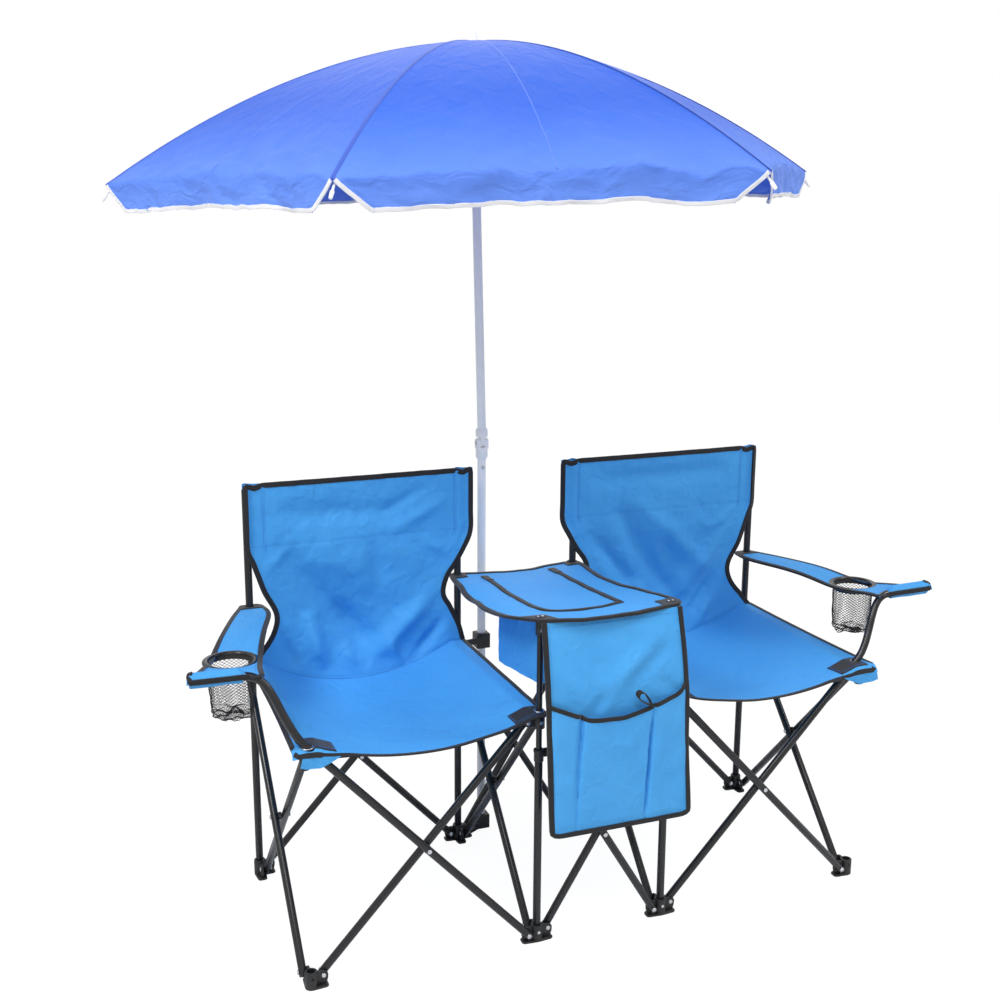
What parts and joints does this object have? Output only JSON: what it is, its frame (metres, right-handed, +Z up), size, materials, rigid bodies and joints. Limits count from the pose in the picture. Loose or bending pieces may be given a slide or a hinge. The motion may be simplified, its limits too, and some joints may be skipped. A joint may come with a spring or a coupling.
{
  "type": "umbrella chair",
  "caption": "Folding double camp chair on crossed steel tubes with a fabric table, cooler, pocket panel, cup holders and a tilting umbrella on a mast.",
  "frame": {"origin": "on the floor, under the middle of the whole object's outline", "axes": "+Z up, -Y the way a person in the chair faces, +X to the right seen from the front"},
  "size_m": [1.6675, 1.4516, 1.8192],
  "materials": {
    "black_steel": "glossy powder coat",
    "black_nylon": "moulded nylon with a fine grain",
    "azure_cloth": "woven polyester",
    "royal_cloth": "thin coated polyester",
    "white_enamel": "white enamel",
    "black_binding": "black woven binding tape",
    "white_binding": "white woven binding tape",
    "bright_rivets": "zinc plated",
    "black_mesh": "open black mesh"
  },
  "bodies": {
    "rear_leg_2": {"foot_rear_2": "black_nylon", "rear_post_2": "black_steel", "back_left": "azure_cloth"},
    "rear_leg_1": {"foot_rear_1": "black_nylon", "rear_post_1": "black_steel"},
    "rear_leg_3": {"foot_rear_3": "black_nylon", "rear_post_3": "black_steel", "back_right": "azure_cloth"},
    "rear_leg_4": {"foot_rear_4": "black_nylon", "rear_post_4": "black_steel"},
    "front_leg_1": {"foot_front_1": "black_nylon"},
    "front_leg_2": {"foot_front_2": "black_nylon", "front_lower_tube_2": "black_steel"},
    "front_leg_3": {"foot_front_3": "black_nylon", "front_lower_tube_3": "black_steel"},
    "front_leg_4": {"foot_front_4": "black_nylon"},
    "front_corner_1": {"corner_fitting_1": "black_nylon"},
    "front_upper_2": {"front_upper_tube_2": "black_steel", "pocket_panel": "azure_cloth"},
    "front_upper_3": {"front_upper_tube_3": "black_steel"},
    "front_corner_4": {"corner_fitting_4": "black_nylon"},
    "rear_slider_1": {"rear_slider_1": "black_nylon", "armrest_left": "azure_cloth"},
    "rear_slider_2": {"rear_slider_2": "black_nylon", "seat_left": "azure_cloth", "table_top": "azure_cloth", "cooler_bag": "azure_cloth"},
    "rear_slider_3": {"rear_slider_3": "black_nylon", "seat_right": "azure_cloth"},
    "rear_slider_4": {"rear_slider_4": "black_nylon", "armrest_right": "azure_cloth"},
    "middle_slider_2": {"middle_slider_2": "black_nylon"},
    "middle_slider_3": {"middle_slider_3": "black_nylon"},
    "middle_collar_2": {"middle_collar_2": "black_nylon"},
    "middle_collar_3": {"middle_collar_3": "black_nylon"},
    "umbrella_mast": {"umbrella_pole_lower": "white_enamel"},
    "push_button": {"umbrella_push_button": "bright_rivets"},
    "umbrella_top": {"umbrella_pole_upper": "white_enamel", "umbrella_canopy": "royal_cloth", "umbrella_rib_frame": "white_enamel"},
    "tube_front_left_rising_left": {"tube_front_left_rising_left": "black_steel"},
    "tube_front_left_rising_right": {"tube_front_left_rising_right": "black_steel"},
    "tube_front_middle_rising_left": {"tube_front_middle_rising_left": "black_steel"},
    "tube_front_middle_rising_right": {"tube_front_middle_rising_right": "black_steel"},
    "tube_front_right_rising_left": {"tube_front_right_rising_left": "black_steel"},
    "tube_front_right_rising_right": {"tube_front_right_rising_right": "black_steel"},
    "tube_rear_left_rising_left": {"tube_rear_left_rising_left": "black_steel"},
    "tube_rear_left_rising_right": {"tube_rear_left_rising_right": "black_steel"},
    "tube_rear_middle_rising_left": {"tube_rear_middle_rising_left": "black_steel"},
    "tube_rear_middle_rising_right": {"tube_rear_middle_rising_right": "black_steel"},
    "tube_rear_right_rising_left": {"tube_rear_right_rising_left": "black_steel"},
    "tube_rear_right_rising_right": {"tube_rear_right_rising_right": "black_steel"},
    "tube_side_1_rising_forward": {"tube_side_1_rising_forward": "black_steel"},
    "tube_side_1_rising_back": {"tube_side_1_rising_back": "black_steel"},
    "tube_side_2_rising_forward": {"tube_side_2_rising_forward": "black_steel"},
    "tube_side_2_rising_back": {"tube_side_2_rising_back": "black_steel"},
    "tube_side_3_rising_forward": {"tube_side_3_rising_forward": "black_steel"},
    "tube_side_3_rising_back": {"tube_side_3_rising_back": "black_steel"},
    "tube_side_4_rising_forward": {"tube_side_4_rising_forward": "black_steel"},
    "tube_side_4_rising_back": {"tube_side_4_rising_back": "black_steel"}
  },
  "joints": [
    {"name": "frame_fold", "type": "hinge", "parent": "rear_leg_2", "child": "tube_rear_left_rising_left", "pos_m": [-0.147, -0.045, 0.023], "axis": [0, 1, 0], "range_deg": [0, 36], "deforming": ["back_left", "back_right", "seat_left", "seat_right", "armrest_left", "armrest_right", "table_top", "cooler_bag", "pocket_panel"]},
    {"name": "rear_left_crossing", "type": "hinge", "parent": "tube_rear_left_rising_left", "child": "tube_rear_left_rising_right", "pos_m": [-0.358, -0.045, 0.2505], "axis": [0, 1, 0], "range_deg": [-72, 0]},
    {"name": "rear_foot_1_pivot", "type": "hinge", "parent": "tube_rear_left_rising_right", "child": "rear_leg_1", "pos_m": [-0.569, -0.045, 0.023], "axis": [0, 1, 0], "range_deg": [0, 36]},
    {"name": "rear_slider_1_pivot", "type": "hinge", "parent": "tube_rear_left_rising_left", "child": "rear_slider_1", "pos_m": [-0.569, -0.045, 0.478], "axis": [0, 1, 0], "range_deg": [-36, 0]},
    {"name": "rear_slider_2_pivot", "type": "hinge", "parent": "tube_rear_left_rising_right", "child": "rear_slider_2", "pos_m": [-0.147, -0.045, 0.478], "axis": [0, 1, 0], "range_deg": [0, 36]},
    {"name": "rear_middle_foot_2_pivot", "type": "hinge", "parent": "rear_leg_2", "child": "tube_rear_middle_rising_right", "pos_m": [-0.099, -0.045, 0.023], "axis": [0, 1, 0], "range_deg": [-24.8, 0]},
    {"name": "rear_middle_crossing", "type": "hinge", "parent": "tube_rear_middle_rising_right", "child": "tube_rear_middle_rising_left", "pos_m": [0.019, -0.045, 0.2165], "axis": [0, 1, 0], "range_deg": [0, 49.6]},
    {"name": "rear_middle_foot_3_pivot", "type": "hinge", "parent": "tube_rear_middle_rising_left", "child": "rear_leg_3", "pos_m": [0.137, -0.045, 0.023], "axis": [0, 1, 0], "range_deg": [-24.8, 0]},
    {"name": "middle_slider_3_pivot", "type": "hinge", "parent": "tube_rear_middle_rising_right", "child": "middle_slider_3", "pos_m": [0.137, -0.045, 0.41], "axis": [0, 1, 0], "range_deg": [0, 24.8]},
    {"name": "middle_slider_2_pivot", "type": "hinge", "parent": "tube_rear_middle_rising_left", "child": "middle_slider_2", "pos_m": [-0.099, -0.045, 0.41], "axis": [0, 1, 0], "range_deg": [-24.8, 0]},
    {"name": "rear_right_foot_3_pivot", "type": "hinge", "parent": "rear_leg_3", "child": "tube_rear_right_rising_right", "pos_m": [0.185, -0.045, 0.023], "axis": [0, 1, 0], "range_deg": [-36, 0]},
    {"name": "rear_right_crossing", "type": "hinge", "parent": "tube_rear_right_rising_right", "child": "tube_rear_right_rising_left", "pos_m": [0.396, -0.045, 0.2505], "axis": [0, 1, 0], "range_deg": [0, 72]},
    {"name": "rear_foot_4_pivot", "type": "hinge", "parent": "tube_rear_right_rising_left", "child": "rear_leg_4", "pos_m": [0.607, -0.045, 0.023], "axis": [0, 1, 0], "range_deg": [-36, 0]},
    {"name": "rear_slider_4_pivot", "type": "hinge", "parent": "tube_rear_right_rising_right", "child": "rear_slider_4", "pos_m": [0.607, -0.045, 0.478], "axis": [0, 1, 0], "range_deg": [0, 36]},
    {"name": "rear_slider_3_pivot", "type": "hinge", "parent": "tube_rear_right_rising_left", "child": "rear_slider_3", "pos_m": [0.185, -0.045, 0.478], "axis": [0, 1, 0], "range_deg": [-36, 0]},
    {"name": "side_1_rear_foot_pivot", "type": "hinge", "parent": "rear_leg_1", "child": "tube_side_1_rising_forward", "pos_m": [-0.593, -0.069, 0.023], "axis": [1, 0, 0], "range_deg": [-36, 0]},
    {"name": "side_1_crossing", "type": "hinge", "parent": "tube_side_1_rising_forward", "child": "tube_side_1_rising_back", "pos_m": [-0.593, -0.28, 0.2505], "axis": [1, 0, 0], "range_deg": [0, 72]},
    {"name": "side_1_front_foot_pivot", "type": "hinge", "parent": "tube_side_1_rising_back", "child": "front_leg_1", "pos_m": [-0.593, -0.491, 0.023], "axis": [1, 0, 0], "range_deg": [-36, 0]},
    {"name": "side_1_front_top_pivot", "type": "hinge", "parent": "tube_side_1_rising_forward", "child": "front_corner_1", "pos_m": [-0.593, -0.491, 0.478], "axis": [1, 0, 0], "range_deg": [0, 36]},
    {"name": "side_2_rear_foot_pivot", "type": "hinge", "parent": "rear_leg_2", "child": "tube_side_2_rising_forward", "pos_m": [-0.123, -0.069, 0.023], "axis": [1, 0, 0], "range_deg": [-36, 0]},
    {"name": "side_2_crossing", "type": "hinge", "parent": "tube_side_2_rising_forward", "child": "tube_side_2_rising_back", "pos_m": [-0.123, -0.28, 0.2505], "axis": [1, 0, 0], "range_deg": [0, 72]},
    {"name": "side_2_front_foot_pivot", "type": "hinge", "parent": "tube_side_2_rising_back", "child": "front_leg_2", "pos_m": [-0.123, -0.491, 0.023], "axis": [1, 0, 0], "range_deg": [-36, 0]},
    {"name": "side_2_front_top_pivot", "type": "hinge", "parent": "tube_side_2_rising_forward", "child": "front_upper_2", "pos_m": [-0.123, -0.491, 0.478], "axis": [1, 0, 0], "range_deg": [0, 36]},
    {"name": "side_3_rear_foot_pivot", "type": "hinge", "parent": "rear_leg_3", "child": "tube_side_3_rising_forward", "pos_m": [0.161, -0.069, 0.023], "axis": [1, 0, 0], "range_deg": [-36, 0]},
    {"name": "side_3_crossing", "type": "hinge", "parent": "tube_side_3_rising_forward", "child": "tube_side_3_rising_back", "pos_m": [0.161, -0.28, 0.2505], "axis": [1, 0, 0], "range_deg": [0, 72]},
    {"name": "side_3_front_foot_pivot", "type": "hinge", "parent": "tube_side_3_rising_back", "child": "front_leg_3", "pos_m": [0.161, -0.491, 0.023], "axis": [1, 0, 0], "range_deg": [-36, 0]},
    {"name": "side_3_front_top_pivot", "type": "hinge", "parent": "tube_side_3_rising_forward", "child": "front_upper_3", "pos_m": [0.161, -0.491, 0.478], "axis": [1, 0, 0], "range_deg": [0, 36]},
    {"name": "side_4_rear_foot_pivot", "type": "hinge", "parent": "rear_leg_4", "child": "tube_side_4_rising_forward", "pos_m": [0.631, -0.069, 0.023], "axis": [1, 0, 0], "range_deg": [-36, 0]},
    {"name": "side_4_crossing", "type": "hinge", "parent": "tube_side_4_rising_forward", "child": "tube_side_4_rising_back", "pos_m": [0.631, -0.28, 0.2505], "axis": [1, 0, 0], "range_deg": [0, 72]},
    {"name": "side_4_front_foot_pivot", "type": "hinge", "parent": "tube_side_4_rising_back", "child": "front_leg_4", "pos_m": [0.631, -0.491, 0.023], "axis": [1, 0, 0], "range_deg": [-36, 0]},
    {"name": "side_4_front_top_pivot", "type": "hinge", "parent": "tube_side_4_rising_forward", "child": "front_corner_4", "pos_m": [0.631, -0.491, 0.478], "axis": [1, 0, 0], "range_deg": [0, 36]},
    {"name": "front_left_foot_2_pivot", "type": "hinge", "parent": "front_leg_2", "child": "tube_front_left_rising_left", "pos_m": [-0.147, -0.515, 0.023], "axis": [0, 1, 0], "range_deg": [0, 36]},
    {"name": "front_left_foot_1_pivot", "type": "hinge", "parent": "front_leg_1", "child": "tube_front_left_rising_right", "pos_m": [-0.569, -0.515, 0.023], "axis": [0, 1, 0], "range_deg": [-36, 0]},
    {"name": "front_middle_foot_2_pivot", "type": "hinge", "parent": "front_leg_2", "child": "tube_front_middle_rising_right", "pos_m": [-0.099, -0.515, 0.023], "axis": [0, 1, 0], "range_deg": [-24.8, 0]},
    {"name": "front_middle_foot_3_pivot", "type": "hinge", "parent": "front_leg_3", "child": "tube_front_middle_rising_left", "pos_m": [0.137, -0.515, 0.023], "axis": [0, 1, 0], "range_deg": [0, 24.8]},
    {"name": "middle_collar_2_pivot", "type": "hinge", "parent": "tube_front_middle_rising_left", "child": "middle_collar_2", "pos_m": [-0.099, -0.515, 0.41], "axis": [0, 1, 0], "range_deg": [-24.8, 0]},
    {"name": "middle_collar_3_pivot", "type": "hinge", "parent": "tube_front_middle_rising_right", "child": "middle_collar_3", "pos_m": [0.137, -0.515, 0.41], "axis": [0, 1, 0], "range_deg": [0, 24.8]},
    {"name": "front_right_foot_3_pivot", "type": "hinge", "parent": "front_leg_3", "child": "tube_front_right_rising_right", "pos_m": [0.185, -0.515, 0.023], "axis": [0, 1, 0], "range_deg": [-36, 0]},
    {"name": "front_right_foot_4_pivot", "type": "hinge", "parent": "front_leg_4", "child": "tube_front_right_rising_left", "pos_m": [0.607, -0.515, 0.023], "axis": [0, 1, 0], "range_deg": [0, 36]},
    {"name": "mast_turn", "type": "hinge", "parent": "rear_leg_2", "child": "umbrella_mast", "pos_m": [-0.051, -0.008, 0], "axis": [0, 0, 1], "continuous": true},
    {"name": "push_button_press", "type": "slide", "parent": "umbrella_mast", "child": "push_button", "axis": [0, 1, 0], "range_m": [0, 0.003], "stiffness_N_per_m": 400},
    {"name": "umbrella_tilt", "type": "hinge", "parent": "umbrella_mast", "child": "umbrella_top", "pos_m": [-0.051, -0.008, 0.938], "axis": [1, 0, 0], "range_deg": [0, 40]}
  ],
  "couplings": [
    {"joint": "rear_left_crossing", "follows": "frame_fold", "ratio": -2},
    {"joint": "rear_foot_1_pivot", "follows": "frame_fold", "ratio": 1},
    {"joint": "rear_slider_1_pivot", "follows": "frame_fold", "ratio": -1},
    {"joint": "rear_slider_2_pivot", "follows": "frame_fold", "ratio": 1},
    {"joint": "rear_middle_foot_2_pivot", "follows": "frame_fold", "ratio": -0.6889},
    {"joint": "rear_middle_crossing", "follows": "frame_fold", "ratio": 1.3778},
    {"joint": "rear_middle_foot_3_pivot", "follows": "frame_fold", "ratio": -0.6889},
    {"joint": "middle_slider_3_pivot", "follows": "frame_fold", "ratio": 0.6889},
    {"joint": "middle_slider_2_pivot", "follows": "frame_fold", "ratio": -0.6889},
    {"joint": "rear_right_foot_3_pivot", "follows": "frame_fold", "ratio": -1},
    {"joint": "rear_right_crossing", "follows": "frame_fold", "ratio": 2},
    {"joint": "rear_foot_4_pivot", "follows": "frame_fold", "ratio": -1},
    {"joint": "rear_slider_4_pivot", "follows": "frame_fold", "ratio": 1},
    {"joint": "rear_slider_3_pivot", "follows": "frame_fold", "ratio": -1},
    {"joint": "side_1_rear_foot_pivot", "follows": "frame_fold", "ratio": -1},
    {"joint": "side_1_crossing", "follows": "frame_fold", "ratio": 2},
    {"joint": "side_1_front_foot_pivot", "follows": "frame_fold", "ratio": -1},
    {"joint": "side_1_front_top_pivot", "follows": "frame_fold", "ratio": 1},
    {"joint": "side_2_rear_foot_pivot", "follows": "frame_fold", "ratio": -1},
    {"joint": "side_2_crossing", "follows": "frame_fold", "ratio": 2},
    {"joint": "side_2_front_foot_pivot", "follows": "frame_fold", "ratio": -1},
    {"joint": "side_2_front_top_pivot", "follows": "frame_fold", "ratio": 1},
    {"joint": "side_3_rear_foot_pivot", "follows": "frame_fold", "ratio": -1},
    {"joint": "side_3_crossing", "follows": "frame_fold", "ratio": 2},
    {"joint": "side_3_front_foot_pivot", "follows": "frame_fold", "ratio": -1},
    {"joint": "side_3_front_top_pivot", "follows": "frame_fold", "ratio": 1},
    {"joint": "side_4_rear_foot_pivot", "follows": "frame_fold", "ratio": -1},
    {"joint": "side_4_crossing", "follows": "frame_fold", "ratio": 2},
    {"joint": "side_4_front_foot_pivot", "follows": "frame_fold", "ratio": -1},
    {"joint": "side_4_front_top_pivot", "follows": "frame_fold", "ratio": 1},
    {"joint": "front_left_foot_2_pivot", "follows": "frame_fold", "ratio": 1},
    {"joint": "front_left_foot_1_pivot", "follows": "frame_fold", "ratio": -1},
    {"joint": "front_middle_foot_2_pivot", "follows": "frame_fold", "ratio": -0.6889},
    {"joint": "front_middle_foot_3_pivot", "follows": "frame_fold", "ratio": 0.6889},
    {"joint": "middle_collar_2_pivot", "follows": "frame_fold", "ratio": -0.6889},
    {"joint": "middle_collar_3_pivot", "follows": "frame_fold", "ratio": 0.6889},
    {"joint": "front_right_foot_3_pivot", "follows": "frame_fold", "ratio": -1},
    {"joint": "front_right_foot_4_pivot", "follows": "frame_fold", "ratio": 1}
  ]
}
